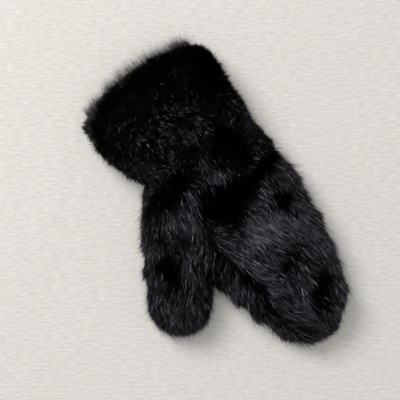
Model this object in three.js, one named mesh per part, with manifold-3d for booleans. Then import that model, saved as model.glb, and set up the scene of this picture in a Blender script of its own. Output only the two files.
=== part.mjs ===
// A black fur mitten for the left hand, lying on its palm with the back of the hand up.
// Units are millimetres, +Z is up. The fingers point along -Y, the cuff's mouth along +Y, and the
// thumb spreads out towards -X. The origin is the middle of the footprint, on the surface it lies on.
//
// The fur fabric is a backing with matted underfur, modelled as a wall. The long outer fur stands in
// staggered rows of pointed locks that are fused to that wall and lie along the nap.

import * as THREE from "three";
import { mergeVertices } from "three/addons/utils/BufferGeometryUtils.js";
import Module from "manifold-3d";

const wasm = await Module();
wasm.setup();

// Driving dimensions. Widths, heights and lengths are those of the walls, without the locks.
const handLength = 215; // wrist end to fingertip
const handWidth = 118;
const handHeight = 50;
const thumbLength = 155; // along the thumb's middle line, from its root beside the wrist
const thumbWidth = 50;
const thumbHeight = 40;
const thumbSpread = 32; // degrees between the thumb and the fingers
const thumbInset = 24; // from the thumb side of the hand in to the thumb's root
const thumbRootRise = 4; // from the wrist end back to the thumb's root
const cuffLength = 127; // mouth to hem along the middle line
const cuffFlare = 15; // how much wider the cuff is than the hand
const cuffRaise = 12; // how much higher the cuff is than the hand
const cuffOverlap = 20; // how far the hem covers the wrist end of the hand
const wristSlant = 47; // how much nearer the fingers the wrist lies on the little finger's side
const hemBow = 11; // how far the corners of the hem draw back
const mouthBow = 15; // how far the corners of the mouth draw back
const mouthSlant = 7; // how much further the corner on the little finger's side draws back
const scallopPerDepth = 1.6; // how far a gather draws the hem back, for its depth

const furWall = 6; // backing and matted underfur of the hand and the thumb
const mouthWall = 12; // the cuff's fabric is turned in and laid double at its mouth
const hemWall = 8;
const pressedWall = 6; // the wall that the mitten lies on
const lockRise = 8; // how far the tips of the locks stand off the wall
const lockWidth = 14;
const rowPitch = 13.5; // between rows of locks
const lockOverlap = 1.1; // how far the tips lie past the middle of their own row, in rows
const endOverhang = 2; // how far the last tips stand past the end of the wall
const valleyRise = 2.5; // how far the fur between two locks stands off the wall
const partingRise = 5; // the same between two rows that lie away from each other
const sewnGap = 0.3; // between pieces that are sewn to each other
const lockGap = 1; // between the locks of one piece and those of the next
const seatDepth = 1; // how much deeper the wall lies where another piece is sewn on
const facetLength = 13; // the walls' facets, along a form and round it
const facetWidth = 10.5;

const cuffWidth = handWidth + cuffFlare;
const cuffHeight = handHeight + cuffRaise;

// Sections of the hand from wrist to fingertip. along is a share of handLength, thumbSide and
// farSide are shares of handWidth from the middle line, and top and under are shares of handHeight.
const handSections = [
  { along: 0.0, thumbSide: 0.39, farSide: 0.41, top: 0.8, under: -0.1 },
  { along: 0.11, thumbSide: 0.42, farSide: 0.44, top: 0.86, under: -0.1 },
  { along: 0.237, thumbSide: 0.49, farSide: 0.49, top: 0.92, under: -0.1 },
  { along: 0.447, thumbSide: 0.51, farSide: 0.48, top: 1.0, under: -0.1 },
  { along: 0.638, thumbSide: 0.44, farSide: 0.405, top: 0.97, under: -0.1 },
  { along: 0.771, thumbSide: 0.35, farSide: 0.35, top: 0.88, under: -0.08 },
  { along: 0.886, thumbSide: 0.265, farSide: 0.27, top: 0.74, under: -0.02 },
  { along: 0.953, thumbSide: 0.19, farSide: 0.17, top: 0.6, under: 0.06 },
  { along: 0.986, thumbSide: 0.11, farSide: 0.085, top: 0.47, under: 0.14 },
  { along: 1.0, thumbSide: 0.06, farSide: 0.02, top: 0.38, under: 0.2 },
];

// Sections of the thumb from root to tip, as shares of thumbLength, thumbWidth and thumbHeight.
const thumbSections = [
  { along: 0.0, thumbSide: 0.38, farSide: 0.34, top: 0.78, under: -0.04 },
  { along: 0.14, thumbSide: 0.46, farSide: 0.42, top: 0.9, under: -0.1 },
  { along: 0.3, thumbSide: 0.51, farSide: 0.48, top: 1.0, under: -0.12 },
  { along: 0.55, thumbSide: 0.52, farSide: 0.51, top: 1.02, under: -0.12 },
  { along: 0.78, thumbSide: 0.52, farSide: 0.5, top: 0.97, under: -0.12 },
  { along: 0.91, thumbSide: 0.44, farSide: 0.42, top: 0.84, under: -0.04 },
  { along: 0.975, thumbSide: 0.3, farSide: 0.28, top: 0.68, under: 0.08 },
  { along: 1.0, thumbSide: 0.16, farSide: 0.13, top: 0.54, under: 0.2 },
];

// Sections of the cuff from mouth to hem, as shares of cuffLength, cuffWidth and cuffHeight.
const cuffSections = [
  { along: 0.0, thumbSide: 0.5, farSide: 0.42, top: 0.82, under: 0.04 },
  { along: 0.06, thumbSide: 0.545, farSide: 0.455, top: 0.92, under: -0.06 },
  { along: 0.2, thumbSide: 0.54, farSide: 0.465, top: 0.99, under: -0.09 },
  { along: 0.45, thumbSide: 0.52, farSide: 0.445, top: 1.0, under: -0.08 },
  { along: 0.7, thumbSide: 0.47, farSide: 0.425, top: 0.97, under: -0.08 },
  { along: 0.92, thumbSide: 0.42, farSide: 0.44, top: 0.92, under: -0.08 },
  { along: 1.0, thumbSide: 0.41, farSide: 0.435, top: 0.86, under: -0.05 },
];

// Height of the side seam from wrist to fingertip in even steps, as shares of handHeight.
const seamHeights = [
  { thumbSide: 1.0, farSide: 0.35 },
  { thumbSide: 1.0, farSide: 0.35 },
  { thumbSide: 1.03, farSide: 0.35 },
  { thumbSide: 1.05, farSide: 0.35 },
  { thumbSide: 0.78, farSide: 0.34 },
  { thumbSide: 0.45, farSide: 0.3 },
];

// Dents in the upper side. along and reachAlong are shares of the form's length, across and
// reachAcross are shares of its width, and depth is a share of its height.
const handDents = [
  { along: 0.242, across: -0.12, depth: 0.16, reachAlong: 0.12, reachAcross: 0.17 },
  { along: 0.381, across: 0.373, depth: 0.1, reachAlong: 0.047, reachAcross: 0.085 },
  { along: 0.633, across: 0.034, depth: 0.08, reachAlong: 0.056, reachAcross: 0.144 },
  { along: 0.781, across: 0.263, depth: 0.14, reachAlong: 0.093, reachAcross: 0.076 },
];
const thumbDents = [{ along: 0.61, across: -0.08, depth: 0.12, reachAlong: 0.077, reachAcross: 0.22 }];

// Gathers at the cuff's hem: valleys that run up from the hem and die out halfway up the cuff.
// turn and reach are in degrees round the cuff from the far side, and depth is a share of hemWall.
const cuffGathers = [
  { turn: 47, depth: 1.0, reach: 9 },
  { turn: 88, depth: 0.5, reach: 7 },
  { turn: 113, depth: 1.0, reach: 9 },
  { turn: 162, depth: 0.4, reach: 9 },
];

const fullTurn = 2 * Math.PI;
const { clamp, degToRad, euclideanModulo, lerp, smoothstep } = THREE.MathUtils;

// The same scattered number from 0 to 1 for the same count each time.
function scatter(count) {
  const wave = Math.sin(count * 12.9898) * 43758.5453;
  return wave - Math.floor(wave);
}

// Every column of a table at t, from 0 at its first row to 1 at its last, on a smooth curve.
function sectionAt(rows, t) {
  const last = rows.length - 1;
  const within = clamp(t, 0, 1) * last;
  const row = Math.min(Math.floor(within), last - 1);
  const share = within - row;
  const section = {};
  for (const column of Object.keys(rows[0])) {
    const [before, from, to, after] = [-1, 0, 1, 2].map((step) => rows[clamp(row + step, 0, last)][column]);
    const leave = (to - before) / 2;
    const arrive = (after - from) / 2;
    const bend = 2 * (from - to) + leave + arrive;
    const turn = 3 * (to - from) - 2 * leave - arrive;
    section[column] = from + share * (leave + share * (turn + share * bend));
  }
  return section;
}

// A section in millimetres, grown outwards by grow. A room inside a form has a floor, lowest.
function sizedSection(section, width, height, grow, lowest) {
  const least = 1;
  const under = Math.max(lowest, section.under * height - grow);
  return {
    thumbSide: Math.max(section.thumbSide * width + grow, least),
    farSide: Math.max(section.farSide * width + grow, least),
    top: Math.max(section.top * height + grow, under + least),
    under,
  };
}

// A point on a rounded section, a little squarer than an ellipse, at an angle from its far side.
function roundedPoint({ thumbSide, farSide, top, under }, angle) {
  const squareness = 0.86;
  const sideways = Math.sign(Math.cos(angle)) * Math.abs(Math.cos(angle)) ** squareness;
  const upward = Math.sign(Math.sin(angle)) * Math.abs(Math.sin(angle)) ** squareness;
  return {
    across: (farSide - thumbSide) / 2 + (sideways * (farSide + thumbSide)) / 2,
    height: (top + under) / 2 + (upward * (top - under)) / 2,
  };
}

function dentDepth(dents, acrossShare, alongShare, angle) {
  let depth = 0;
  for (const dent of dents) {
    const sideways = (acrossShare - dent.across) / dent.reachAcross;
    const lengthways = (alongShare - dent.along) / dent.reachAlong;
    depth += dent.depth * Math.exp(-(sideways ** 2) - lengthways ** 2);
  }
  return depth * clamp(Math.sin(angle) * 2, 0, 1);
}

// The surfaces of the three soft forms at t from 0 to 1, and straight on beyond their ends.
// X runs from the hand's middle line, and Y from the wrist. grow moves a surface outwards.
function handPoint(t, angle, grow, lowest = -Infinity) {
  const section = sectionAt(handSections, t);
  const spot = roundedPoint(sizedSection(section, handWidth, handHeight, grow, lowest), angle);
  const slant = (wristSlant * spot.across * (1 - section.along) ** 3) / handWidth;
  const reach = (section.along + t - clamp(t, 0, 1)) * handLength;
  const along = reach + slant + grow * smoothstep(section.along, 0.8, 1);
  const dent = dentDepth(handDents, spot.across / handWidth, along / handLength, angle);
  return new THREE.Vector3(spot.across, -along, spot.height - dent * handHeight);
}

function thumbPoint(t, angle, grow, lowest = -Infinity) {
  const section = sectionAt(thumbSections, t);
  const spot = roundedPoint(sizedSection(section, thumbWidth, thumbHeight, grow, lowest), angle);
  const reach = (section.along + t - clamp(t, 0, 1)) * thumbLength;
  const along = reach + grow * smoothstep(section.along, 0.7, 1);
  const dent = dentDepth(thumbDents, spot.across / thumbWidth, along / thumbLength, angle);
  return new THREE.Vector3(spot.across, -along, spot.height - dent * thumbHeight)
    .applyAxisAngle(new THREE.Vector3(0, 0, 1), -degToRad(thumbSpread))
    .add(new THREE.Vector3(thumbInset - handWidth / 2, thumbRootRise, 0));
}

function cuffPoint(t, angle, grow, lowest = -Infinity) {
  const section = sectionAt(cuffSections, t);
  let pinch = 0;
  for (const gather of cuffGathers) {
    const turn = euclideanModulo(angle - degToRad(gather.turn) + Math.PI, fullTurn) - Math.PI;
    pinch += gather.depth * hemWall * Math.exp(-((turn / degToRad(gather.reach)) ** 2));
  }
  pinch *= smoothstep(section.along, 0.35, 0.95);
  const sized = sizedSection(section, cuffWidth, cuffHeight, grow, lowest);
  sized.thumbSide -= pinch;
  sized.farSide -= pinch;
  sized.top -= pinch;
  const spot = roundedPoint(sized, angle);
  const acrossShare = spot.across / (cuffWidth / 2);
  const mouth = (mouthBow * acrossShare ** 2 + mouthSlant * acrossShare) * (1 - section.along) ** 2;
  const slant = (wristSlant * spot.across) / handWidth;
  const hem = (slant - hemBow * acrossShare ** 2 - pinch * scallopPerDepth) * section.along ** 2;
  const endGrowth = grow * (smoothstep(section.along, 0.9, 1) - 1 + smoothstep(section.along, 0, 0.1));
  const reach = (section.along + t - clamp(t, 0, 1)) * cuffLength;
  const along = reach + mouth + hem + endGrowth;
  return new THREE.Vector3(spot.across, cuffLength - cuffOverlap - along, spot.height);
}

function cuffRoomPoint(t, angle, grow, lowest) {
  return cuffPoint(t, angle, -lerp(mouthWall, hemWall, clamp(t, 0, 1)), lowest);
}

const handForm = { pointOn: handPoint, length: handLength };
const thumbForm = { pointOn: thumbPoint, length: thumbLength };
const cuffForm = { pointOn: cuffPoint, length: cuffLength };
const cuffRoomForm = { pointOn: cuffRoomPoint, length: cuffLength };

function solidOf(geometry) {
  geometry.deleteAttribute("normal");
  geometry.deleteAttribute("uv");
  const merged = mergeVertices(geometry, 1e-4);
  return new wasm.Manifold(
    new wasm.Mesh({
      numProp: 3,
      vertProperties: merged.attributes.position.array,
      triVerts: new Uint32Array(merged.index.array),
    }),
  );
}

// A closed solid through rings of points, with each end closed by a fan to its middle.
function solidThroughRings(rings) {
  const sides = rings[0].length;
  const points = rings.flat();
  for (const ring of [rings[0], rings[rings.length - 1]]) {
    const middle = ring.reduce((sum, point) => sum.add(point), new THREE.Vector3());
    points.push(middle.divideScalar(sides));
  }
  const [firstMiddle, lastMiddle] = [points.length - 2, points.length - 1];
  const lastRing = (rings.length - 1) * sides;
  const faces = [];
  for (let side = 0; side < sides; side++) {
    const next = (side + 1) % sides;
    faces.push(firstMiddle, next, side);
    faces.push(lastMiddle, lastRing + side, lastRing + next);
    for (let ring = 0; ring < lastRing; ring += sides) {
      faces.push(ring + side, ring + next, ring + sides + side);
      faces.push(ring + next, ring + sides + next, ring + sides + side);
    }
  }
  return solidOf(new THREE.BufferGeometry().setFromPoints(points).setIndex(faces));
}

const evenShares = (count) => Array.from({ length: count + 1 }, (_, k) => k / count);

// Running lengths along points, and the share of the way along them at which a length is reached.
function runningLengths(points) {
  const lengths = [0];
  for (let k = 1; k < points.length; k++) {
    lengths.push(lengths[k - 1] + points[k].distanceTo(points[k - 1]));
  }
  return lengths;
}

function shareAtLength(lengths, wanted) {
  const passed = lengths.findIndex((length) => length > wanted);
  const above = passed < 1 ? lengths.length - 1 : passed;
  const share = (wanted - lengths[above - 1]) / (lengths[above] - lengths[above - 1]);
  return (above - 1 + share) / (lengths.length - 1);
}

// Running lengths round one section of a form's wall.
function outlineAt({ pointOn }, t) {
  return runningLengths(evenShares(120).map((share) => pointOn(t, share * fullTurn, 0)));
}

// The smooth solid of a form, from one of its sections to another.
function smoothSolid(form, grow, from = 0, to = 1, lowest = -Infinity) {
  const steps = Math.round((form.length * (to - from)) / facetLength);
  const sides = Math.round(outlineAt(form, 0.5).pop() / facetWidth);
  const turns = evenShares(sides).slice(0, sides);
  const rings = evenShares(steps).map((step) =>
    turns.map((turn) => form.pointOn(lerp(from, to, step), turn * fullTurn, grow, lowest)),
  );
  return solidThroughRings(rings);
}

// The room inside a form, from before its start to just short of its end.
const roomIn = (form, from, to) => smoothSolid(form, -furWall, from, to, pressedWall);

// A form covered with rows of locks. Each row is a ring on the wall and a ring of lock tips with
// valleys between them. napAt gives the lie of a row: 1 towards the form's end, -1 towards its start.
function furredSolid(form, napAt) {
  const { pointOn } = form;
  const shares = evenShares(120);
  const lineAt = (turn) => shares.map((t) => pointOn(t, turn * fullTurn, 0));
  const lines = [0, 0.25, 0.5].map((turn) => runningLengths(lineAt(turn)));
  const surfaceLengths = shares.map((_, k) => (lines[0][k] + lines[1][k] + lines[2][k]) / lines.length);
  const surfaceLength = surfaceLengths[shares.length - 1];
  const rows = Math.round(surfaceLength / rowPitch);
  const pitch = surfaceLength / rows;
  const tAt = (distance) => {
    const onSurface = clamp(distance, 0, surfaceLength);
    return shareAtLength(surfaceLengths, onSurface) + (distance - onSurface) / form.length;
  };
  const sides = 2 * Math.round(outlineAt(form, 0.5).pop() / lockWidth);
  const rings = [];
  for (let row = 0; row <= rows; row++) {
    const wallT = tAt(row * pitch);
    const outline = outlineAt(form, wallT);
    const turnAt = (side) => {
      const wanted = (euclideanModulo(side, sides) / sides) * outline[outline.length - 1];
      return shareAtLength(outline, wanted) * fullTurn;
    };
    const nap = napAt((row + 0.5) / rows);
    const parting = clamp(nap - napAt((row - 0.5) / rows), 0, 1) * partingRise;
    rings.push(Array.from({ length: sides }, (_, side) => pointOn(wallT, turnAt(side), parting)));
    if (row === rows) break;
    const tips = [];
    for (let side = 0; side < sides; side++) {
      const isTip = (side + row) % 2 === 0;
      const seed = row * sides + side;
      const overlap = isTip ? lockOverlap + 0.5 * (scatter(seed) - 0.5) : 0.1;
      const rise = isTip ? lockRise * (1 - 0.25 * scatter(seed + 0.3)) : valleyRise;
      const drift = isTip ? 0.6 * (scatter(seed + 0.6) - 0.5) : 0;
      const wanted = (row + 0.5 + nap * overlap) * pitch;
      const distance = clamp(wanted, -endOverhang, surfaceLength + endOverhang);
      tips.push(pointOn(tAt(distance), turnAt(side + drift), rise));
    }
    rings.push(tips);
  }
  return solidThroughRings(rings);
}

// Everything under the floor, which presses the underside flat.
function floorBlock() {
  const reach = 4 * (handLength + cuffLength);
  return solidOf(new THREE.BoxGeometry(reach, reach, reach).translate(0, 0, -reach / 2));
}

// All of space above (1) or below (-1) the side seam, which runs high on the thumb side of the hand.
function besideSeam(side) {
  const reach = 4 * handHeight;
  const block = new THREE.BoxGeometry(3 * handWidth, 2.5 * handLength, 2 * reach, 12, 40, 1);
  const corners = block.attributes.position;
  for (let k = 0; k < corners.count; k++) {
    const [x, y, z] = [corners.getX(k), corners.getY(k), corners.getZ(k)];
    const seam = sectionAt(seamHeights, -y / handLength);
    const across = clamp(x / handWidth + 0.5, 0, 1);
    const height = lerp(seam.thumbSide, seam.farSide, across) * handHeight;
    const facesSeam = Math.sign(z) !== side;
    corners.setXYZ(k, x, y, facesSeam ? height + (side * sewnGap) / 2 : side * reach);
  }
  return solidOf(block);
}

// The largest connected body of a cut solid: crumbs of locks that a cut has freed fall away.
function largestBody(solid) {
  return solid.decompose().reduce((a, b) => (b.volume() > a.volume() ? b : a));
}

function meshOf(name, solid, material) {
  const { vertProperties, triVerts } = solid.getMesh();
  const geometry = new THREE.BufferGeometry();
  geometry.setAttribute("position", new THREE.BufferAttribute(new Float32Array(vertProperties), 3));
  geometry.setIndex(new THREE.BufferAttribute(new Uint32Array(triVerts), 1));
  geometry.computeVertexNormals();
  const mesh = new THREE.Mesh(geometry, material);
  mesh.name = name;
  return mesh;
}

const floor = floorBlock();
const towardsTip = () => 1;
// The cuff's fur parts near its mouth: it stands out of the mouth and lies towards the hand.
const partedNap = (share) => clamp((share - 0.17) * 9, -1, 1);

const handWall = smoothSolid(handForm, -seatDepth);
const handRoom = roomIn(handForm, -0.1, 0.97);
const clearOfHand = smoothSolid(handForm, sewnGap - seatDepth);
const clearOfHandLocks = smoothSolid(handForm, lockRise + lockGap);
const thumbWall = smoothSolid(thumbForm, -seatDepth);
const thumbRoom = roomIn(thumbForm, 0.1, 0.97);
const clearOfThumb = smoothSolid(thumbForm, sewnGap - seatDepth);
const clearOfThumbLocks = smoothSolid(thumbForm, lockRise + lockGap);
const cuffWall = smoothSolid(cuffForm, -seatDepth);
const cuffRoom = roomIn(cuffRoomForm, -0.1, 1.1);
const clearOfCuff = smoothSolid(cuffForm, sewnGap - seatDepth);

// The hand's locks end at the thumb and under the cuff, and its wall carries on below them.
function handSolid() {
  const locks = furredSolid(handForm, towardsTip).subtract(clearOfThumbLocks).subtract(clearOfCuff);
  return locks.add(handWall).subtract(handRoom).subtract(thumbRoom).subtract(floor);
}

function thumbSolid() {
  const locks = furredSolid(thumbForm, towardsTip).subtract(clearOfCuff);
  return locks.add(thumbWall).subtract(thumbRoom).subtract(clearOfHand).subtract(floor);
}

function cuffSolid() {
  const locks = furredSolid(cuffForm, partedNap).subtract(clearOfHandLocks).subtract(clearOfThumbLocks);
  const wall = cuffWall.subtract(clearOfHand).subtract(clearOfThumb);
  return locks.add(wall).subtract(cuffRoom).subtract(floor);
}

const hand = handSolid();
const pieces = {
  back_panel: { solid: hand.intersect(besideSeam(1)), colour: 0x1b1a1e },
  palm_panel: { solid: hand.intersect(besideSeam(-1)), colour: 0x19181c },
  thumb: { solid: thumbSolid(), colour: 0x18171b },
  cuff: { solid: cuffSolid(), colour: 0x1a191d },
};
const group = new THREE.Group();
for (const [name, { solid, colour }] of Object.entries(pieces)) {
  const fur = new THREE.MeshStandardMaterial({ color: colour, roughness: 0.85, metalness: 0 });
  group.add(meshOf(name, largestBody(solid), fur));
}

// The origin goes to the middle of the footprint.
const middle = new THREE.Box3().setFromObject(group).getCenter(new THREE.Vector3());
group.position.set(-middle.x, -middle.y, 0);

export default group;
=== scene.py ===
import math

import bmesh
import bpy
import numpy as np
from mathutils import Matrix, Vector, noise
from mathutils.bvhtree import BVHTree
from mathutils.kdtree import KDTree


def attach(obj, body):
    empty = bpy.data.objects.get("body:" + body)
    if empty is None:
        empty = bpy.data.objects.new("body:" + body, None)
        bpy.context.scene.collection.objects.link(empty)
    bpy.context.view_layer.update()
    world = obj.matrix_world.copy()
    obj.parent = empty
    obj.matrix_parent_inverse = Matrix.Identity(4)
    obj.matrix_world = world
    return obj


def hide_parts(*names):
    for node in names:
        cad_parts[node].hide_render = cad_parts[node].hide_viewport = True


# A black long-pile fur mitten for the left hand, lying on its palm. Everything is in metres,
# +Z up, the fingers along -Y, the mouth of the cuff along +Y and the thumb out towards -X.
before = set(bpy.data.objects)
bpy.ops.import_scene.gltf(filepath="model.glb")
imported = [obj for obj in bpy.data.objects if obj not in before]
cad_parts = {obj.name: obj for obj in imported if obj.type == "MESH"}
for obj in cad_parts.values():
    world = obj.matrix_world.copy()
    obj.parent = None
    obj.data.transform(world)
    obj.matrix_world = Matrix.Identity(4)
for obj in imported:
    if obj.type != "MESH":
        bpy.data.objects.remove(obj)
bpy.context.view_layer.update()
mm = 0.001
fullTurn = 2 * math.pi
noise.seed_set(5)
handMiddle = (33.931, 54.255)  # millimetres from the origin to the hand's middle line and wrist


def say(text):
    print("mitten:", text)


# The three soft forms, in millimetres: the solids' own, but up to 4 mm narrower or shorter at
# the fingertip, the far side and the mouth, because single hairs stand off them.
hand = {
    "length": 212,
    "width": 118,
    "height": 50,
    "wristSlant": 47,  # how much nearer the fingers the wrist lies on the little finger's side
    "wall": 6,
    "tipFrom": 0.8,  # where along it a thicker wall starts to make it longer
    "sections": [  # along, thumb side, far side, top, under, from the wrist to the fingertip
        (0.0, 0.39, 0.41, 0.8, -0.1),
        (0.11, 0.42, 0.46, 0.86, -0.1),
        (0.237, 0.49, 0.5, 0.92, -0.1),
        (0.447, 0.51, 0.455, 1.0, -0.1),
        (0.638, 0.44, 0.405, 0.97, -0.1),
        (0.771, 0.375, 0.35, 0.88, -0.08),
        (0.886, 0.3, 0.27, 0.74, -0.02),
        (0.953, 0.22, 0.145, 0.6, 0.06),
        (0.986, 0.13, 0.07, 0.47, 0.14),
        (1.0, 0.06, 0.02, 0.38, 0.2),
    ],
    "dents": [  # along, across, depth, reach along, reach across
        (0.242, -0.12, 0.16, 0.12, 0.17),
        (0.381, 0.373, 0.1, 0.047, 0.085),
        (0.633, 0.034, 0.08, 0.056, 0.144),
        (0.781, 0.263, 0.14, 0.093, 0.076),
    ],
}
thumb = {
    "length": 155,
    "width": 50,
    "height": 40,
    "spread": 32,  # degrees between the thumb and the fingers
    "root": (-35, 4),  # where the thumb starts, from the hand's middle line and the wrist
    "wall": 6,
    "tipFrom": 0.7,
    "sections": [
        (0.0, 0.38, 0.34, 0.78, -0.04),
        (0.14, 0.46, 0.42, 0.9, -0.1),
        (0.3, 0.51, 0.48, 1.0, -0.12),
        (0.55, 0.52, 0.51, 1.02, -0.12),
        (0.78, 0.52, 0.5, 0.97, -0.12),
        (0.91, 0.44, 0.42, 0.84, -0.04),
        (0.975, 0.3, 0.28, 0.68, 0.08),
        (1.0, 0.16, 0.13, 0.54, 0.2),
    ],
    "dents": [(0.61, -0.08, 0.12, 0.077, 0.22)],
}
cuff = {
    "length": 121.5,
    "width": 133,
    "height": 62,
    "overlap": 20,  # how far the hem covers the wrist
    "slant": 47,  # of the hem, over the hand's width
    "hemBow": 11,
    "mouthBow": 12.5,
    "mouthSlant": 3,
    "mouthWall": 12,
    "hemWall": 8,
    "rim": 0.1,  # share of the length at each end where a thicker wall makes it longer
    "scallopPerDepth": 1.6,  # how far the hem draws back at a gather
    "gatherReach": (0.35, 0.95),  # where the gathers start and are full, from the mouth
    "sections": [
        (0.0, 0.48, 0.42, 0.82, 0.04),
        (0.06, 0.515, 0.455, 0.92, -0.06),
        (0.2, 0.515, 0.465, 0.99, -0.09),
        (0.45, 0.505, 0.445, 1.0, -0.08),
        (0.7, 0.47, 0.425, 0.97, -0.08),
        (0.92, 0.42, 0.44, 0.92, -0.08),
        (1.0, 0.41, 0.435, 0.86, -0.05),
    ],
    "gathers": [(47, 1.0, 9), (88, 0.5, 7), (113, 1.0, 9), (162, 0.4, 9)],  # turn, depth, reach
}
creaseLine = [  # the seam on the back: y and x from the hand's middle line and the wrist
    (7, -35.5),
    (-27, -36.5),
    (-76, -39.5),
    (-125, -30.5),
    (-153, -35.5),
    (-188, -29.5),
    (-228, -23.5),
]
seamGroove = {
    "depth": 4.5,
    "halfWidth": 4,
    "starts": (10, 40),  # where it deepens, and below where it dies away, from the wrist
    "ends": (130, 190),
}
tiny = 1e-12  # keeps a division from zero
floorGap = 2.4  # the fabric lies this far above the floor, on its own pressed fur
noFloor = -1e3  # lower than any point of a form


def smoothStep(value, low, high):
    share = np.clip((value - low) / (high - low), 0, 1)
    return share * share * (3 - 2 * share)


def sectionsAt(rows, t):
    # every column of a table at each t, on a smooth curve through its rows
    rows = np.array(rows)
    last = len(rows) - 1
    within = np.clip(t, 0, 1) * last
    row = np.minimum(within.astype(int), last - 1)
    share = (within - row)[:, None]
    before, start, end, after = (rows[np.clip(row + step, 0, last)] for step in (-1, 0, 1, 2))
    leave = (end - before) / 2
    arrive = (after - start) / 2
    bend = 2 * (start - end) + leave + arrive
    turn = 3 * (end - start) - 2 * leave - arrive
    return (start + share * (leave + share * (turn + share * bend))).T


def roundedSpot(form, section, angle, grow, lowest, pinch=0.0):
    # a point on a rounded section, a little squarer than an ellipse, turning from the far side
    # over the top
    squareness = 0.86
    _, thumbSide, farSide, top, under = section
    under = np.maximum(lowest, under * form["height"] - grow)
    thumbSide = np.maximum(thumbSide * form["width"] + grow, 1) - pinch
    farSide = np.maximum(farSide * form["width"] + grow, 1) - pinch
    top = np.maximum(top * form["height"] + grow, under + 1) - pinch
    sideways = np.sign(np.cos(angle)) * np.abs(np.cos(angle)) ** squareness
    upward = np.sign(np.sin(angle)) * np.abs(np.sin(angle)) ** squareness
    across = (farSide - thumbSide) / 2 + sideways * (farSide + thumbSide) / 2
    height = (top + under) / 2 + upward * (top - under) / 2
    return across, height


def upperShare(angle):
    return np.clip(2 * np.sin(angle), 0, 1)


def seamAt(y):
    return np.interp(y, *zip(*creaseLine[::-1]))


def dentDepth(form, across, along, angle):
    depth = np.zeros_like(across)
    for alongAt, acrossAt, deep, reachAlong, reachAcross in form["dents"]:
        sideways = (across / form["width"] - acrossAt) / reachAcross
        lengthways = (along / form["length"] - alongAt) / reachAlong
        depth += deep * np.exp(-(sideways**2) - lengthways**2)
    return depth * upperShare(angle) * form["height"]


def placed(x, y, z, lowest):
    spots = np.stack([x + handMiddle[0], y + handMiddle[1], np.maximum(z, lowest)], axis=1)
    return spots * mm


def grooveDepth(across, along, angle):
    # the seam on the back lies in a groove
    valley = np.exp(-(((across - seamAt(-along)) / seamGroove["halfWidth"]) ** 2))
    reach = smoothStep(along, *seamGroove["starts"]) * (1 - smoothStep(along, *seamGroove["ends"]))
    return seamGroove["depth"] * valley * reach * upperShare(angle)


def handSpot(t, angle, grow, room=False):
    section = sectionsAt(hand["sections"], t)
    lowest = hand["wall"] if room else noFloor
    across, height = roundedSpot(hand, section, angle, grow, lowest)
    slant = hand["wristSlant"] * across * (1 - section[0]) ** 3 / hand["width"]
    reach = (section[0] + t - np.clip(t, 0, 1)) * hand["length"]
    along = reach + slant + grow * smoothStep(section[0], hand["tipFrom"], 1)
    height = height - dentDepth(hand, across, along, angle)
    if not room:
        height = height - grooveDepth(across, along, angle)
    return placed(across, -along, height, floorGap)


def thumbSpot(t, angle, grow, room=False):
    section = sectionsAt(thumb["sections"], t)
    lowest = thumb["wall"] if room else noFloor
    across, height = roundedSpot(thumb, section, angle, grow, lowest)
    reach = (section[0] + t - np.clip(t, 0, 1)) * thumb["length"]
    along = reach + grow * smoothStep(section[0], thumb["tipFrom"], 1)
    height = height - dentDepth(thumb, across, along, angle)
    turn = -math.radians(thumb["spread"])
    x = across * math.cos(turn) + along * math.sin(turn) + thumb["root"][0]
    y = across * math.sin(turn) - along * math.cos(turn) + thumb["root"][1]
    return placed(x, y, height, floorGap)


def cuffSpot(t, angle, grow, room=False):
    section = sectionsAt(cuff["sections"], t)
    pinch = np.zeros_like(angle)
    for turnAt, depth, reach in cuff["gathers"]:
        turn = np.mod(angle - math.radians(turnAt) + math.pi, fullTurn) - math.pi
        pinch += depth * cuff["hemWall"] * np.exp(-((turn / math.radians(reach)) ** 2))
    pinch *= smoothStep(section[0], *cuff["gatherReach"])
    if room:
        grow = grow - (cuff["mouthWall"] + (cuff["hemWall"] - cuff["mouthWall"]) * np.clip(t, 0, 1))
    lowest = hand["wall"] if room else noFloor
    across, height = roundedSpot(cuff, section, angle, grow, lowest, pinch)
    share = across / (cuff["width"] / 2)
    mouth = (cuff["mouthBow"] * share**2 + cuff["mouthSlant"] * share) * (1 - section[0]) ** 2
    slant = cuff["slant"] * across / hand["width"]
    hem = slant - cuff["hemBow"] * share**2 - pinch * cuff["scallopPerDepth"]
    ends = smoothStep(section[0], 1 - cuff["rim"], 1) - 1 + smoothStep(section[0], 0, cuff["rim"])
    reach = (section[0] + t - np.clip(t, 0, 1)) * cuff["length"]
    along = reach + mouth + hem * section[0] ** 2 + grow * ends
    return placed(across, cuff["length"] - cuff["overlap"] - along, height, floorGap)


def mouthSpot(t, angle, grow, room=False):
    # the end face of the cuff, from its outer edge in to the lining; it has one side only, so
    # grow and room change nothing
    return cuffSpot(np.zeros_like(t), angle, -np.clip(t, 0, 1) * cuff["mouthWall"])


def srgb(code):
    channels = [int(code[k : k + 2], 16) / 255 for k in (1, 3, 5)]
    return [*(c / 12.92 if c <= 0.04045 else ((c + 0.055) / 1.055) ** 2.4 for c in channels), 1]


def addNode(tree, kind, links=(), **settings):
    # one node with its settings and the links that end in it: (input name, output socket)
    node = tree.nodes.new(kind)
    for name, value in settings.items():
        if name in node.inputs and not hasattr(node, name):
            node.inputs[name].default_value = value
        else:
            setattr(node, name, value)
    for name, source in links:
        tree.links.new(source, node.inputs[name])
    return node


def newMaterial(name):
    material = bpy.data.materials.new(name)
    material.use_nodes = True
    shader = material.node_tree.nodes["Principled BSDF"]
    return material, material.node_tree, shader


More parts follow.
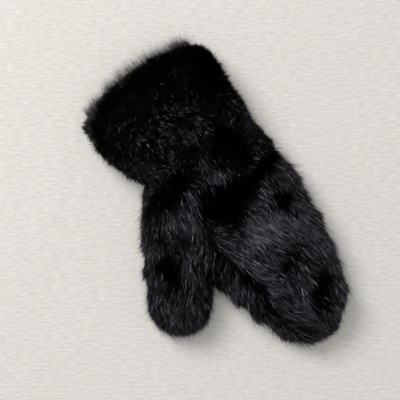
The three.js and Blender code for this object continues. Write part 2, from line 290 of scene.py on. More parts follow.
def colourRamp(tree, source, stops):
    ramp = addNode(tree, "ShaderNodeValToRGB", [("Fac", source)])
    while len(ramp.color_ramp.elements) < len(stops):
        ramp.color_ramp.elements.new(0.5)
    for element, (place, code) in zip(ramp.color_ramp.elements, stops):
        element.position = place
        element.color = srgb(code)
    return ramp


def objectPlace(tree):
    return addNode(tree, "ShaderNodeTexCoord").outputs["Object"]


def noisePattern(tree, place, scale, detail):
    return addNode(
        tree, "ShaderNodeTexNoise", [("Vector", place)], Scale=scale, Detail=detail
    ).outputs["Fac"]


def grainedLook(tree, shader, pattern, stops, strength, depth, roughness):
    # colour and bump from one pattern; depth is the bump's, in metres
    ramp = colourRamp(tree, pattern, stops)
    bump = addNode(
        tree, "ShaderNodeBump", [("Height", pattern)], Strength=strength, Distance=depth
    )
    tree.links.new(ramp.outputs["Color"], shader.inputs["Base Color"])
    tree.links.new(bump.outputs["Normal"], shader.inputs["Normal"])
    shader.inputs["Roughness"].default_value = roughness


def dyedFurHair(name, glint):
    # dyed guard hair: keratin, IOR 1.55, smooth and oily, so it glints along its length and
    # stays nearly black between the glints; a lower glint on one copy is painted shade for hairs
    # that hide among the others, a higher glint on another copy is a painted highlight
    material, tree, shader = newMaterial(name)
    shade = addNode(tree, "ShaderNodeAttribute", attribute_name="shade")
    # the shade attribute carries each hair's tone with its painted shade and painted highlights;
    # the light lilac end serves random light hairs and painted highlights
    ramp = colourRamp(
        tree,
        shade.outputs["Fac"],
        [(0.0, "#010101"), (0.35, "#0c090b"), (0.7, "#2c2a31"), (1.0, "#817d88")],
    )
    # patches of 20 mm that are a little drier or oilier
    patches = noisePattern(tree, objectPlace(tree), 45.0, 2.0)
    gloss = addNode(tree, "ShaderNodeMapRange", [("Value", patches)])
    gloss.inputs["To Min"].default_value = 0.24
    gloss.inputs["To Max"].default_value = 0.4
    tree.links.new(ramp.outputs["Color"], shader.inputs["Base Color"])
    tree.links.new(gloss.outputs["Result"], shader.inputs["Roughness"])
    shader.inputs["IOR"].default_value = 1.55
    shader.inputs["Specular Tint"].default_value = srgb("#fbf1ff")
    shader.inputs["Specular IOR Level"].default_value = glint
    return material


def mattedUnderfur():
    # dense matted underfur on its dyed backing: soft, dull, almost black, with fine felt grain
    material, tree, shader = newMaterial("mattedUnderfur")
    # felted hair of about 1.5 mm, drawn coarse enough to show
    felt = noisePattern(tree, objectPlace(tree), 700.0, 4.0)
    stops = [(0.3, "#050405"), (0.6, "#0d0b0e"), (0.85, "#19161a")]
    grainedLook(tree, shader, felt, stops, strength=0.6, depth=0.0015, roughness=0.9)
    shader.inputs["Specular IOR Level"].default_value = 0.1
    return material


def brushedLining():
    # brushed knitted lining: short soft nap over ribs about 5 mm apart, matt charcoal
    material, tree, shader = newMaterial("brushedLining")
    place = objectPlace(tree)
    ribs = addNode(
        tree,
        "ShaderNodeTexWave",
        [("Vector", place)],
        bands_direction="X",
        Scale=64.0,
        Distortion=1.5,
        Detail=2.0,
    )
    nap = noisePattern(tree, place, 900.0, 3.0)
    blend = addNode(
        tree, "ShaderNodeMath", [(0, ribs.outputs["Fac"]), (1, nap)], operation="MULTIPLY"
    )
    stops = [(0.0, "#0a090b"), (0.6, "#1c1a1f")]
    pattern = blend.outputs["Value"]
    grainedLook(tree, shader, pattern, stops, strength=0.5, depth=0.001, roughness=0.85)
    shader.inputs["Sheen Weight"].default_value = 0.05
    return material


hairMaterials = [  # copies of one hair material: with painted shade (less glint), plain, and with painted highlights (more glint)
    dyedFurHair("paintedShadeFurHair", 0.03),
    dyedFurHair("dyedFurHair", 0.35),
    dyedFurHair("paintedHighlightFurHair", 0.42),
]
topTones = (0.22, 0.55)  # the tone at which a hair takes the plain copy, and the copy with painted highlights
underfurMaterial = mattedUnderfur()
liningMaterial = brushedLining()


# The fabric: one closed skin for each form, its outside and lining joined at its open edges.
skinPlan = {
    "facet": 4.0,  # millimetres between points, along a form and round it
    "outerGrow": 1.6,  # the matted underfur stands this far off the wall
    "roomEnd": 0.97,  # where along the hand and the thumb their rooms end
    "openPast": 20,  # a room's end past this y, in millimetres from the origin, is open
}


def addObject(name, data):
    made = bpy.data.objects.new(name, data)
    bpy.context.collection.objects.link(made)
    return made


def laidGrid(mesh, spotAt, rows, turns, endT):
    made = bmesh.ops.create_grid(mesh, x_segments=rows, y_segments=turns, size=0.5)["verts"]
    shares = np.array([vert.co.x + 0.5 for vert in made])
    angles = np.array([vert.co.y + 0.5 for vert in made]) * fullTurn
    for vert, spot in zip(made, spotAt(shares * endT, angles)):
        vert.co = spot
    bmesh.ops.remove_doubles(mesh, verts=made, dist=1e-6)
    mesh.verts.ensure_lookup_table()


def openLoops(mesh):
    # the open edges of a mesh, sorted into loops
    waiting = {edge for edge in mesh.edges if edge.is_boundary}
    loops = []
    while waiting:
        loop = []
        reached = [waiting.pop()]
        while reached:
            edge = reached.pop()
            loop.append(edge)
            for vert in edge.verts:
                near = [other for other in vert.link_edges if other in waiting]
                waiting.difference_update(near)
                reached.extend(near)
        loops.append(loop)
    return loops


def loopMiddle(loop):
    return sum((edge.verts[0].co + edge.verts[1].co for edge in loop), Vector()) / (2 * len(loop))


def makeSkin(name, form, spotAt, openEnd, replaced):
    rows = round(form["length"] / skinPlan["facet"])
    turns = round(math.pi * (form["width"] + form["height"]) / 2 / skinPlan["facet"])
    mesh = bmesh.new()
    outer = lambda t, angle: spotAt(t, angle, skinPlan["outerGrow"])
    laidGrid(mesh, outer, rows, turns, 1.0)
    outerLoops = openLoops(mesh)
    outerFaces = set(mesh.faces)
    wall = 0 if form is cuff else form["wall"]
    inner = lambda t, angle: spotAt(t, angle, -wall, True)
    room = bmesh.new()
    laidGrid(room, inner, rows, turns, 1.0 if openEnd else skinPlan["roomEnd"])
    carried = bpy.data.meshes.new("room")
    room.to_mesh(carried)
    room.free()
    mesh.from_mesh(carried)
    bpy.data.meshes.remove(carried)
    innerLoops = [loop for loop in openLoops(mesh) if not outerFaces & set(loop[0].link_faces)]
    lining = [face for face in mesh.faces if face not in outerFaces]
    for loop in innerLoops:
        middle = loopMiddle(loop)
        if openEnd or middle.y > skinPlan["openPast"] * mm:
            facing = min(outerLoops, key=lambda other: (loopMiddle(other) - middle).length)
            bmesh.ops.bridge_loops(mesh, edges=loop + facing)
        else:
            bmesh.ops.holes_fill(mesh, edges=loop)
    bmesh.ops.holes_fill(mesh, edges=[edge for edge in mesh.edges if edge.is_boundary])
    bmesh.ops.recalc_face_normals(mesh, faces=mesh.faces)
    if mesh.calc_volume(signed=True) < 0:
        bmesh.ops.reverse_faces(mesh, faces=mesh.faces)
    for face in mesh.faces:
        face.smooth = True
    for face in lining:
        face.material_index = 1
    data = bpy.data.meshes.new(name)
    mesh.to_mesh(data)
    mesh.free()
    data.materials.append(underfurMaterial)
    data.materials.append(liningMaterial)
    skin = addObject(name, data)
    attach(skin, "root")
    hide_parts(*replaced)


makeSkin("hand_skin", hand, handSpot, False, ["back_panel", "palm_panel"])
makeSkin("thumb_skin", thumb, thumbSpot, False, ["thumb"])
makeSkin("cuff_skin", cuff, cuffSpot, True, ["cuff"])
say("skins made")


# The fur: thin pointed hairs in joined meshes.
furPlan = {
    "endT": 1.0,  # the roots cover the form from its start to here
    "room": False,  # they are on its inside
    "parted": False,  # the fur parts at the seam on the back
    "rootDepth": 0.8,  # millimetres off the wall, below the skin
    "pile": 16.0,  # mean length of a hair
    "lift": 27,  # degrees off the fabric on the inner half of a hair
    "droop": 14,  # how much flatter the outer half lies
    "hairWidth": 0.46,  # at the middle, drawn as wide as a few real hairs
    "tuftSpacing": 5.0,  # between small tufts of hairs whose tips cling together
    "lockSpacing": 13.0,  # between the locks that the tufts gather into
    "tuftPull": 0.5,  # how far a hair's tip is drawn to its tuft's, and a tuft's to its lock's
    "lockPull": 0.3,
    "swirl": 20,  # degrees that the lie of the fur wanders from the nap
    "looseShare": 0.3,  # hairs that stand free of their tufts
    "looseJitter": 1.7,
    "looseWidth": 0.75,  # of the others' width
    "waviness": 0.5,  # how much the lift changes from place to place
    "stray": 0.25,  # how far the lie strays from the nap where the nap is weak
    "curl": 12,  # degrees that the ends turn aside from the roots
    "bendAt": 0.5,  # where along a hair its end starts to lie over
    "tone": 0.42,  # how light a hair is on average; the tone also picks the copy with painted shade, the plain copy or the one with painted highlights
    "toneSpread": 0.16,
    "hiddenReach": 60.0,  # how far above a hidden root the form that covers it may be
}
furWaves = {  # the size in millimetres of what changes from place to place
    "broad": 46,
    "fine": 14,
    "stray": 18,
    "tone": 26,
}
waveShare = {  # how much the broad and the fine waves change the lie, the lift and the length
    "broadSwirl": 1.5,
    "fineSwirl": 1.1,
    "fineLift": 1.2,
    "fineLength": 0.25,
}
clinging = {  # shares of the pull that tips have
    "lockMiddle": 0.4,  # for the middles of tufts
    "tuftMiddle": 0.35,  # and of hairs
    "least": 0.5,  # for a hair that clings least to its tuft
    "loose": 0.1,
}
widthByTone = (0.7, 0.7)  # share of the width that a dark hair has, and how much a light one adds
furSpread = {  # how much single hairs differ: lie in degrees, the others as a share
    "lie": 10,
    "lift": 0.25,
    "length": 0.17,
    "tuftTone": 0.08,
    "width": 0.3,
    "steady": 0.8,  # how much of it locks and the hairs in tufts have
}
patchEffect = {  # what hollows, sheens and the pressed seam do to the hair; what they do to its tone is painted shade or painted highlight
    "seenAt": 0.55,  # share of the pile from a hair's root to where its patch is charted
    "hollowLift": 40,  # degrees that it stands up more
    "hollowLength": 0.2,  # shares of its length, tone and spread of tones that it loses; the tone and spread it loses are painted shade
    "hollowPaintedShade": 0.7,
    "hollowSpread": 0.8,
    "sheenLift": 20,  # degrees that its lift goes to, and how far
    "sheenPull": 0.7,
    # painted highlight: the tone and spread of tones that a sheen adds
    "sheenPaintedHighlight": 0.36,
    "sheenSpread": 0.4,
    "pressedLift": 0.6,  # share of its lift that it loses
    # painted shade in the seam's crease: the tone it loses
    "pressedPaintedShade": 0.3,
    "patchTone": 0.2,  # how much the tone changes from place to place
}
liftRange = (4, 80)  # degrees off the fabric
lengthRange = (0.5, 1.45)  # of the length of the hairs around
droopRange = (0.6, 0.8)  # least share of the droop, and how much that varies
lightHairs = (2, 0.7)  # shape and scale of a spread of tones with a few much lighter hairs
shadeAlong = (0.1, 0.7, 0.7, 0.7, 1.0)  # a hair's points from its root to its tip; the darker root is painted shade
leastHeight = (0.7, 1.2)  # millimetres that hairs stay off the floor, and how much that varies
seamParting = {
    "sharpness": 2.5,  # how near the seam, in millimetres, the lie turns over
    "reach": 14,
    "turn": 0.8,
    "pressedReach": 3.5,
    "fades": (-203, -163),  # y from the wrist
    "ridgeSheen": 1.3,  # painted highlight on the fur beside it
    "ridgeAt": 5,
    "ridgeFades": (-163, -123),
}
hollows = [  # where the fur parts and stands up, darkened as painted shade, such as the shadow under the hem and the dark mouth: x, y, reach x, reach y, turn, strength
    (-14, -53, 18, 26, 0, 1.0),
    (8, -53, 22, 14, 20, 1.0),
    (38, -49, 26, 8, 8, 1.0),
    (38, -84, 10, 9, 0, 1.0),
    (3, -136, 14, 12, 0, 0.5),
    (16, -175, 8, 24, -40, 1.0),
    (-31, -136, 5, 26, 0, 0.7),
    (-58, -104, 9, 16, 0, 0.7),
    (-93, -72, 8, 13, 0, 1.0),
    (-30, -9, 14, 10, 0, 0.8),
    (-44, -18, 20, 9, 0, 0.5),
    (30, -12, 10, 26, 8, 1.0),
    (2, 87, 56, 13, -5, 0.35),
    (50, 62, 16, 30, 0, 0.7),
]
sheens = [  # where it lies smooth, lightened as a painted highlight, and along the mouth's rim as painted light in the fuzz: the same columns
    (6, 20, 17, 14, 0, 0.5),
    (11, 46, 10, 10, 0, 0.4),
    (-50, 60, 14, 12, 0, 0.4),
    (-20, 45, 22, 22, 0, 0.2),
    (-2, -17, 10, 17, 0, 1.2),
    (38, -31, 7, 10, -20, 1.1),
    (-40, 10, 22, 14, 0, 0.25),
    (62, -3, 9, 14, 0, 0.5),
    (7, -96, 34, 15, -18, 1.4),
    (-30, -100, 6, 16, 0, 1.2),
    (42, -122, 12, 22, 0, 0.6),
    (11, -166, 11, 14, 0, 0.35),
    (-54, -42, 18, 18, 0, 0.6),
    (-76, -80, 5, 22, -30, 0.8),
    (-95, -46, 8, 14, 0, 0.5),
    (-115, -110, 14, 12, 0, 0.3),
    (-48, 101, 38, 8, 23, 1.7),
    (14, 112, 30, 7, -6, 1.3),
]


def unit(vectors):
    return vectors / np.maximum(np.linalg.norm(vectors, axis=1, keepdims=True), tiny)


def wander(spots, scale, seed):
    # smooth scattered vectors, one for each spot; scale is the size of the waves in millimetres
    shift = Vector((seed * 17.3, seed * 5.1, seed * 9.7))
    size = 1 / (scale * mm)
    return np.array([noise.noise_vector(Vector(spot) * size + shift) for spot in spots.tolist()])


def scatterRoots(spotAt, plan, rng, shareAt):
    # roots spread evenly over a form's surface, thinned by shareAt
    rows, turns = 150, 180
    count = plan["count"]
    t, angle = np.meshgrid(
        np.linspace(0, plan["endT"], rows + 1), np.linspace(0, fullTurn, turns + 1), indexing="ij"
    )
    corner = spotAt(t.ravel(), angle.ravel(), 0.0, plan["room"])
    corner = corner.reshape(rows + 1, turns + 1, 3)
    one = corner[1:, 1:] - corner[:-1, :-1]
    two = corner[1:, :-1] - corner[:-1, 1:]
    facing = np.cross(one, two)
    area = np.linalg.norm(facing, axis=2) / 2
    share = area * shareAt(facing[..., 2] / np.maximum(2 * area, tiny))
    edges = np.cumsum(share.ravel())
    cell = np.searchsorted(edges, rng.random(count) * edges[-1])
    cell = np.minimum(cell, rows * turns - 1)
    rowAt = (cell // turns + rng.random(count)) / rows
    turnAt = (cell % turns + rng.random(count)) / turns
    return rowAt * plan["endT"], turnAt * fullTurn, area.sum()


def surfaceAt(spotAt, t, angle, grow, room):
    # spots on a form, the way along it and the way out of it
    step = 0.004
    spot = spotAt(t, angle, grow, room)
    along = spotAt(t + step, angle, grow, room) - spotAt(t - step, angle, grow, room)
    around = spotAt(t, angle + step, grow, room) - spotAt(t, angle - step, grow, room)
    out = unit(np.cross(around, along))
    return spot, unit(along), -out if room else out


def nearestOf(spots, centres):
    tree = KDTree(len(centres))
    for k, centre in enumerate(centres.tolist()):
        tree.insert(centre, k)
    tree.balance()
    return np.array([tree.find(spot)[1] for spot in spots.tolist()])


def meanBy(group, values, count):
    total = np.zeros((count, values.shape[1]))
    np.add.at(total, group, values)
    return total / np.maximum(np.bincount(group, minlength=count), 1)[:, None]


def gathered(spots, count, rng):
    # groups of neighbouring spots, evened out by moving each centre to the middle of its group
    centres = spots[rng.choice(len(spots), count, replace=False)]
    for _ in range(2):
        centres = meanBy(nearestOf(spots, centres), spots, count)
    return nearestOf(spots, centres)


def turned(direction, out, angle):
    side = np.cross(out, direction)
    return direction * np.cos(angle)[:, None] + side * np.sin(angle)[:, None]


def mixed(one, two, share):
    return one + (two - one) * share[:, None]


def fromWrist(spot):
    # x and y in millimetres from the hand's middle line and the wrist
    return spot[:, 0] / mm - handMiddle[0], spot[:, 1] / mm - handMiddle[1]


def partedAtSeam(spot, lie, out):
    # the fur lies away from the seam on the back: its lie, how far it is pressed (which also paints
    # shade in the crease) and the painted highlight on the fur beside it
    x, y = fromWrist(spot)
    away = x - seamAt(y)
    onBack = np.clip(out[:, 2] * 2, 0, 1) * smoothStep(y, *seamParting["fades"])
    turn = np.tanh(away / seamParting["sharpness"]) * np.exp(-((away / seamParting["reach"]) ** 2))
    turn = turn * seamParting["turn"] * onBack
    side = np.cross(lie, out)
    side *= np.sign(side[:, :1])
    lie = unit(lie + side * turn[:, None])
    reach = seamParting["pressedReach"]
    pressed = np.exp(-((away / reach) ** 2)) * onBack
    beside = np.exp(-(((away - seamParting["ridgeAt"]) / reach) ** 2))
    ridgeSheen = seamParting["ridgeSheen"] * beside * onBack * smoothStep(y, *seamParting["ridgeFades"])
    return lie, pressed, ridgeSheen


def chartedShare(patches, spot, out):
    # how far each spot lies in one of the patches, on the upper side only
    share = np.zeros(len(spot))
    x, y = fromWrist(spot)
    for middleX, middleY, reachX, reachY, turn, strength in patches:
        turn = math.radians(turn)
        dx, dy = x - middleX, y - middleY
        across = (dx * math.cos(turn) + dy * math.sin(turn)) / reachX
        along = (dy * math.cos(turn) - dx * math.sin(turn)) / reachY
        share = np.maximum(share, strength * np.exp(-((across**2 + along**2) ** 1.5)))
    return share * np.clip(3 * out[:, 2], 0, 1)


def standsFree(root, out, forms, reach):
    # whether each root is outside the other forms
    free = np.ones(len(root), bool)
    for tree in forms:
        for k, (spot, way) in enumerate(zip(root.tolist(), out.tolist())):
            _, facing, _, _ = tree.ray_cast(spot, way, reach * mm)
            if facing is not None and facing.dot(Vector(way)) > 0:
                free[k] = False
    return free


def hairTones(plan, rng, root, tuftOf, tufts, hollow, sheen, pressed):
    # how light each hair is: patches, tufts and single hairs at random, with painted shade in
    # hollows and the pressed seam and painted highlights on sheens
    patch = wander(root, furWaves["tone"], plan["seed"] + 5)[:, 0]
    tone = plan["tone"] + patchEffect["patchTone"] * patch
    tone = tone + rng.normal(0, furSpread["tuftTone"], tufts)[tuftOf]
    # painted highlights where sheens are charted
    tone = tone + patchEffect["sheenPaintedHighlight"] * sheen
    spread = plan["toneSpread"] * (1 - patchEffect["hollowSpread"] * hollow)
    spread = spread * (1 + patchEffect["sheenSpread"] * sheen)
    shape, scale = lightHairs
    tone += spread * (rng.gamma(shape, scale, len(root)) - shape * scale)
    # painted shade in hollows and in the pressed seam
    tone -= patchEffect["hollowPaintedShade"] * hollow + patchEffect["pressedPaintedShade"] * pressed
    return np.clip(tone, 0.02, 1)


def growFur(spotAt, changes, stanceAt, shareAt, hidden=()):
    # stanceAt gives, for each root, the nap (1 towards the form's end), lift, length and curl
    plan = {**furPlan, **changes}
    seed = plan["seed"]
    rng = np.random.default_rng(seed)
    t, angle, area = scatterRoots(spotAt, plan, rng, shareAt)
    depth = 0.0 if plan["room"] else plan["rootDepth"]
    root, along, out = surfaceAt(spotAt, t, angle, depth, plan["room"])
    kept = standsFree(root, out, hidden, plan["hiddenReach"])
    root, along, out, t = root[kept], along[kept], out[kept], t[kept]
    area *= kept.mean()
    nap, liftShare, lengthShare, curlShare = stanceAt(t, root)
    lie = along * nap[:, None]
    pressed = ridgeSheen = np.zeros(len(root))
    if plan["parted"]:
        lie, pressed, ridgeSheen = partedAtSeam(root, lie, out)
    seen = root + patchEffect["seenAt"] * plan["pile"] * mm * lie
    # hollows darken the hairs as painted shade, sheens lighten them as painted highlights
    hollow = chartedShare(hollows, seen, out)
    sheen = np.maximum(chartedShare(sheens, seen, out), ridgeSheen) * (1 - hollow)
    facts = np.stack([liftShare, lengthShare, curlShare, hollow, sheen, pressed], axis=1)

    # small tufts, and locks of tufts, each with a tip of its own
    tufts = int(area / (plan["tuftSpacing"] * mm) ** 2)
    tuftOf = gathered(root, tufts, rng)
    tuft = [meanBy(tuftOf, values, tufts) for values in (root, lie, out, facts)]
    locks = int(area / (plan["lockSpacing"] * mm) ** 2)
    lockOf = gathered(tuft[0], locks, rng)
    lock = [meanBy(lockOf, values, locks) for values in tuft]

    def endsOf(spot, lie, out, facts, jitter):
        # the middle and the tip of hairs that stand up first and lie over towards their tips
        out = unit(out)
        broad = wander(spot, furWaves["broad"], seed)
        fine = wander(spot, furWaves["fine"], seed + 1)
        stray = wander(spot, furWaves["stray"], seed + 2)
        stray -= out * np.sum(stray * out, axis=1)[:, None]
        lie = lie + 2 * plan["stray"] * stray
        napShare = np.clip(np.linalg.norm(lie, axis=1), 0.02, 1)
        lie = unit(lie)
        liftShare, lengthShare, curlShare, hollow, sheen, pressed = facts.T
        swirl = waveShare["broadSwirl"] * broad[:, 0] + waveShare["fineSwirl"] * fine[:, 0]
        swirl = plan["swirl"] * swirl
        swirl += rng.normal(0, furSpread["lie"] * jitter, len(spot))
        waves = plan["waviness"] * (broad[:, 1] + waveShare["fineLift"] * fine[:, 1])
        waves = 1 + waves + rng.normal(0, furSpread["lift"] * jitter, len(spot))
        lift = plan["lift"] * liftShare * waves
        stood = patchEffect["hollowLift"] * hollow * (1 - lift / 90)
        lift = lift + stood - patchEffect["pressedLift"] * lift * pressed
        lift += (patchEffect["sheenLift"] - lift) * patchEffect["sheenPull"] * sheen
        lift = np.radians(np.clip(lift, *liftRange))
        lift = np.arccos(np.cos(lift) * napShare)
        droop = droopRange[0] + droopRange[1] * rng.random(len(spot))
        droop = math.radians(plan["droop"]) * droop * ((1 - hollow) * curlShare)
        length = plan["pile"] * lengthShare * (1 + waveShare["fineLength"] * fine[:, 2])
        length = length * (1 - patchEffect["hollowLength"] * hollow)
        uneven = 1 + rng.normal(0, furSpread["length"] * jitter, len(spot))
        length *= np.clip(uneven, *lengthRange)
        lie = turned(lie, out, np.radians(swirl))
        aside = rng.normal(0, plan["curl"] * jitter, len(spot)) * curlShare
        endLie = turned(lie, out, np.radians(aside))
        length = (length * mm)[:, None]
        rise, fall = lift[:, None], (lift - droop)[:, None]
        middle = spot + plan["bendAt"] * length * (lie * np.cos(rise) + out * np.sin(rise))
        end = (1 - plan["bendAt"]) * length * (endLie * np.cos(fall) + out * np.sin(fall))
        return middle, middle + end

    lockMiddle, lockTip = endsOf(*lock, furSpread["steady"])
    tuftMiddle, tuftTip = endsOf(*tuft, 1.0)
    lockPull = np.full(tufts, plan["lockPull"])
    tuftTip = mixed(tuftTip, lockTip[lockOf], lockPull)
    tuftMiddle = mixed(tuftMiddle, lockMiddle[lockOf], clinging["lockMiddle"] * lockPull)
    loose = rng.random(len(root)) < plan["looseShare"]
    jitter = np.where(loose, plan["looseJitter"], furSpread["steady"])
    middle, tip = endsOf(root, lie, out, facts, jitter)
    pull = clinging["least"] + (1 - clinging["least"]) * rng.random(len(root))
    pull = plan["tuftPull"] * pull * np.where(loose, clinging["loose"], 1)
    tip = mixed(tip, tuftTip[tuftOf], pull)
    middle = mixed(middle, tuftMiddle[tuftOf], clinging["tuftMiddle"] * pull)
    least = (leastHeight[0] + leastHeight[1] * rng.random(len(root))) * mm
    for end in (middle, tip):
        end[:, 2] = np.maximum(end[:, 2], least)

    tone = hairTones(plan, rng, root, tuftOf, tufts, hollow, sheen, pressed)
    uneven = np.exp(rng.normal(0, furSpread["width"], len(root)))
    width = plan["hairWidth"] * mm * (widthByTone[0] + widthByTone[1] * tone) * uneven
    width *= np.where(loose, plan["looseWidth"], 1)
    twist = rng.random(len(root)) * fullTurn
    return root, middle, tip, width, twist, tone


def hairMesh(name, hairs):
    # every hair is closed: its root, three points round its middle and its tip
    root, middle, tip, width, twist, tone = (np.concatenate(part) for part in zip(*hairs))
    count = len(root)
    axis = unit(tip - root)
    helper = np.where(np.abs(axis[:, 2:]) > 0.9, np.array([[1.0, 0, 0]]), np.array([[0, 0, 1.0]]))
    side = unit(np.cross(axis, helper))
    rise = np.cross(axis, side)
    ring = []
    for k in range(3):
        turn = twist + k * fullTurn / 3
        arm = side * np.cos(turn)[:, None] + rise * np.sin(turn)[:, None]
        ring.append(middle + arm * (width / 2)[:, None])
    verts = np.stack([root, *ring, tip], axis=1).reshape(-1, 3)
    pattern = np.array([(0, 2, 1), (0, 3, 2), (0, 1, 3), (4, 1, 2), (4, 2, 3), (4, 3, 1)])
    faces = (pattern[None] + 5 * np.arange(count)[:, None, None]).reshape(-1, 3)
    data = bpy.data.meshes.new(name)
    data.vertices.add(len(verts))
    data.vertices.foreach_set("co", verts.ravel())
    data.loops.add(faces.size)
    data.loops.foreach_set("vertex_index", faces.ravel())
    data.polygons.add(len(faces))
    data.polygons.foreach_set("loop_start", np.arange(len(faces)) * 3)
    data.polygons.foreach_set("use_smooth", np.zeros(len(faces), bool))  # flat sides glint singly
    data.update(calc_edges=True)
    # each hair's tone, with its painted shade and painted highlights, darkened towards the root as
    # painted shade
    shade = data.attributes.new("shade", "FLOAT", "POINT")
    shade.data.foreach_set("value", (tone[:, None] * np.array(shadeAlong)).ravel())
    for material in hairMaterials:
        data.materials.append(material)
    # the tone picks the copy with painted shade, the plain copy or the copy with painted highlights
    place = np.searchsorted(topTones, tone)
    data.polygons.foreach_set("material_index", np.repeat(place, len(pattern)).astype(np.int32))
    data.validate()
    fur = addObject(name, data)
    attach(fur, "root")
    say(f"{name}: {count} hairs")


def outsideTree(name):
    skin = bpy.data.objects[name]
    faces = [p.vertices[:] for p in skin.data.polygons if p.material_index == 0]
    return BVHTree.FromPolygons([v.co[:] for v in skin.data.vertices], faces)


handOutside, thumbOutside, cuffOutside = map(outsideTree, ("hand_skin", "thumb_skin", "cuff_skin"))


combing = {  # where the hand's and the thumb's hair gets shorter, and by how much
    "tipFrom": (0.9, 1),  # share of the form's length
    "tipShorter": 0.3,
    "farTipFrom": (0.75, 0.92),
    "farSideFrom": (-12, 12),  # millimetres from the hand's middle line
    "farTipShorter": 0.35,
}
cuffCombing = {  # along the cuff, from its mouth to its hem
    "uprightAt": 0.3,
    "turnRate": 2.6,
    "mouthNap": -0.9,
    "lift": 1.6,
    "hemFrom": (0.6, 1),  # where the lift gets less
    "hemDrop": 0.6,
    "rimLength": 0.4,
    "fullLengthFrom": (0, 0.18),
    "curlFrom": (0.02, 0.12),
}


def combedStance(t, root):
    # the hand and the thumb are combed towards their tips, shorter at the very end and on the
    # far side of the fingertip
    x, _ = fromWrist(root)
    farTip = smoothStep(x, *combing["farSideFrom"]) * smoothStep(t, *combing["farTipFrom"])
    short = combing["tipShorter"] * smoothStep(t, *combing["tipFrom"])
    short += combing["farTipShorter"] * farTip
    return np.ones_like(t), np.ones_like(t), 1 - short, np.ones_like(t)


def cuffStance(t, root):
    # out of the mouth at the rim, where it is shorter, upright in the middle and over the wrist
    # at the hem
    rim = cuffCombing["rimLength"]
    nap = np.clip(
        (t - cuffCombing["uprightAt"]) * cuffCombing["turnRate"], cuffCombing["mouthNap"], 1
    )
    lift = cuffCombing["lift"] - cuffCombing["hemDrop"] * smoothStep(t, *cuffCombing["hemFrom"])
    length = rim + (1 - rim) * smoothStep(t, *cuffCombing["fullLengthFrom"])
    return nap, lift, length, smoothStep(t, *cuffCombing["curlFrom"])


def rimStance(t, root):
    # straight out of the mouth, without a curl
    return -np.ones_like(t), np.ones_like(t), np.ones_like(t), np.zeros_like(t)


def mouthStance(t, root):
    # the same, shorter towards the lining and a little curled
    shorter, curl = 0.35, 0.3
    return -np.ones_like(t), np.ones_like(t), 1 - shorter * t, curl * np.ones_like(t)


def mostlyUpper(upward):
    # every hair on top, most of them on the sides and few where the form faces down
    onTop, onSides, below = 1.0, 0.85, 0.35
    return np.where(upward > 0.15, onTop, np.where(upward < -0.6, below, onSides))


def evenly(upward):
    return np.ones_like(upward)


handFur = {
    "count": 70000,
    "seed": 11,
    "parted": True,
    "pile": 18.0,
    "hairWidth": 0.6,
    "looseJitter": 1.4,
    "curl": 9,
    "tone": 0.37,
    "toneSpread": 0.3,
}
thumbFur = {
    "count": 30000,
    "seed": 23,
    "pile": 14.5,
    "tone": 0.31,
    "toneSpread": 0.22,
}
cuffFur = {
    "count": 53000,
    "seed": 37,
    "pile": 11.5,
    "swirl": 30,
    "waviness": 0.35,
    "stray": 0.6,
    "droop": 35,
    "curl": 26,
    "bendAt": 0.6,
    "hairWidth": 0.5,
    "tuftPull": 0.38,
    "lockPull": 0.16,
    # far darker than the hand's tone: painted shade on the same fur
    "tone": 0.12,
    "toneSpread": 0.19,
}
fringeFur = {  # the long thin hairs round the rim of the mouth
    "count": 3600,
    "seed": 53,
    "endT": 0.07,
    "pile": 15.0,
    "lift": 30,
    "hairWidth": 0.17,
    "looseShare": 0.9,
    "looseJitter": 2.2,
    # painted light: a light tone for the thin fuzz with light shining through it
    "tone": 0.8,
}
mouthFur = {
    "count": 6500,
    "seed": 61,
    "room": True,
    "pile": 10.0,
    "lift": 42,
    "hairWidth": 0.42,
    "swirl": 12,
    "looseShare": 0.5,
    "tone": 0.16,
}
liningFur = {
    "count": 4500,
    "seed": 41,
    "room": True,
    "endT": 0.15,
    "pile": 8.0,
    "lift": 22,
    "tone": 0.3,
}
besideHand = (thumbOutside, cuffOutside)
besideThumb = (handOutside, cuffOutside)
handHairs = growFur(handSpot, handFur, combedStance, mostlyUpper, besideHand)
thumbHairs = growFur(thumbSpot, thumbFur, combedStance, mostlyUpper, besideThumb)
cuffHairs = growFur(cuffSpot, cuffFur, cuffStance, mostlyUpper)
fringeHairs = growFur(cuffSpot, fringeFur, rimStance, evenly)
mouthHairs = growFur(mouthSpot, mouthFur, mouthStance, evenly)
liningHairs = growFur(cuffSpot, liningFur, rimStance, evenly)
upperPart = 0.52  # of the hand's and the cuff's hairs are in the upper mesh


def picked(hairs, choice):
    return tuple(part[choice] for part in hairs)


def splitFur(names, hairs, share, more=()):
    # one form's hairs in two meshes, split at a height that leaves each its share of them
    height = np.quantile(hairs[0][:, 2], 1 - share)
    upper = hairs[0][:, 2] > height
    hairMesh(names[0], [picked(hairs, upper)])
    hairMesh(names[1], [picked(hairs, ~upper), *more])


splitFur(("hand_back_fur", "hand_palm_fur"), handHairs, upperPart)
hairMesh("thumb_fur", [thumbHairs])
splitFur(("cuff_upper_fur", "cuff_under_fur"), cuffHairs, upperPart, [liningHairs])
hairMesh("cuff_fringe", [fringeHairs, mouthHairs])


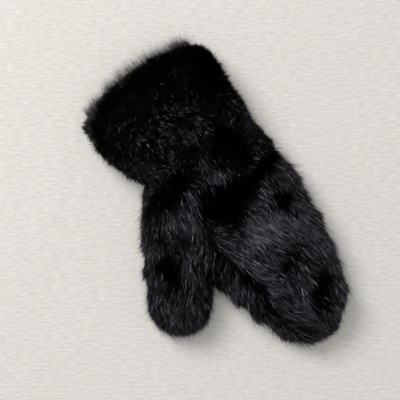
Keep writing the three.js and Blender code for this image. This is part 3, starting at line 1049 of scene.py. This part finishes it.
# The floor, the light and the camera.
studio = {
    "floorSize": 3.0,
    "keyDirection": (-0.14, 0.98, 1.15),  # from the photograph's upper left
    "keyDistance": 2.4,
    "keySize": 1.3,
    "keyPower": 37.0,
    "fillHeight": 2.2,
    "fillSize": 1.6,
    "fillPower": 14.0,
    "worldStrength": 0.27,
    "cameraPlace": (0.00743, 0.01926, 1.13),
    "cameraTurn": -36.87,
    "lens": 99.0,
}


def paleFloor():
    # a plain pale plastered board: matt, with fine brush marks about 8 mm long
    material, tree, shader = newMaterial("palePlaster")
    brushed = addNode(
        tree, "ShaderNodeMapping", [("Vector", objectPlace(tree))], vector_type="TEXTURE"
    )
    brushed.inputs["Rotation"].default_value = (0, 0, math.radians(studio["cameraTurn"]))
    brushed.inputs["Scale"].default_value = (3.3, 1, 1)
    grain = noisePattern(tree, brushed.outputs["Vector"], 420.0, 3.0)
    stops = [(0.3, "#dbd7d1"), (0.7, "#ebe8e2")]
    grainedLook(tree, shader, grain, stops, strength=0.7, depth=0.001, roughness=0.8)
    return material


floorMesh = bmesh.new()
bmesh.ops.create_grid(floorMesh, x_segments=1, y_segments=1, size=studio["floorSize"] / 2)
floorData = bpy.data.meshes.new("floor")
floorMesh.to_mesh(floorData)
floorMesh.free()
floorData.materials.append(paleFloor())
floor = addObject("floor", floorData)


def softLight(name, place, size, power):
    data = bpy.data.lights.new(name, "AREA")
    data.shape = "DISK"
    data.size = size
    data.energy = power
    light = addObject(name, data)
    light.location = place
    light.rotation_euler = (-light.location).to_track_quat("-Z", "Y").to_euler()


keyPlace = Vector(studio["keyDirection"]).normalized() * studio["keyDistance"]
softLight("keyLight", keyPlace, studio["keySize"], studio["keyPower"])
fillPlace = Vector((0, 0, studio["fillHeight"]))
softLight("fillLight", fillPlace, studio["fillSize"], studio["fillPower"])

world = bpy.data.worlds.new("studio")
world.use_nodes = True
world.node_tree.nodes["Background"].inputs["Color"].default_value = srgb("#f4f4f6")
world.node_tree.nodes["Background"].inputs["Strength"].default_value = studio["worldStrength"]
bpy.context.scene.world = world
bpy.context.scene.view_settings.view_transform = "Standard"  # keeps the fur's blacks deep

cameraData = bpy.data.cameras.new("camera")
cameraData.lens = studio["lens"]
camera = addObject("camera", cameraData)
camera.location = studio["cameraPlace"]
camera.rotation_euler = (0, 0, math.radians(studio["cameraTurn"]))
bpy.context.scene.camera = camera
say("stage set")
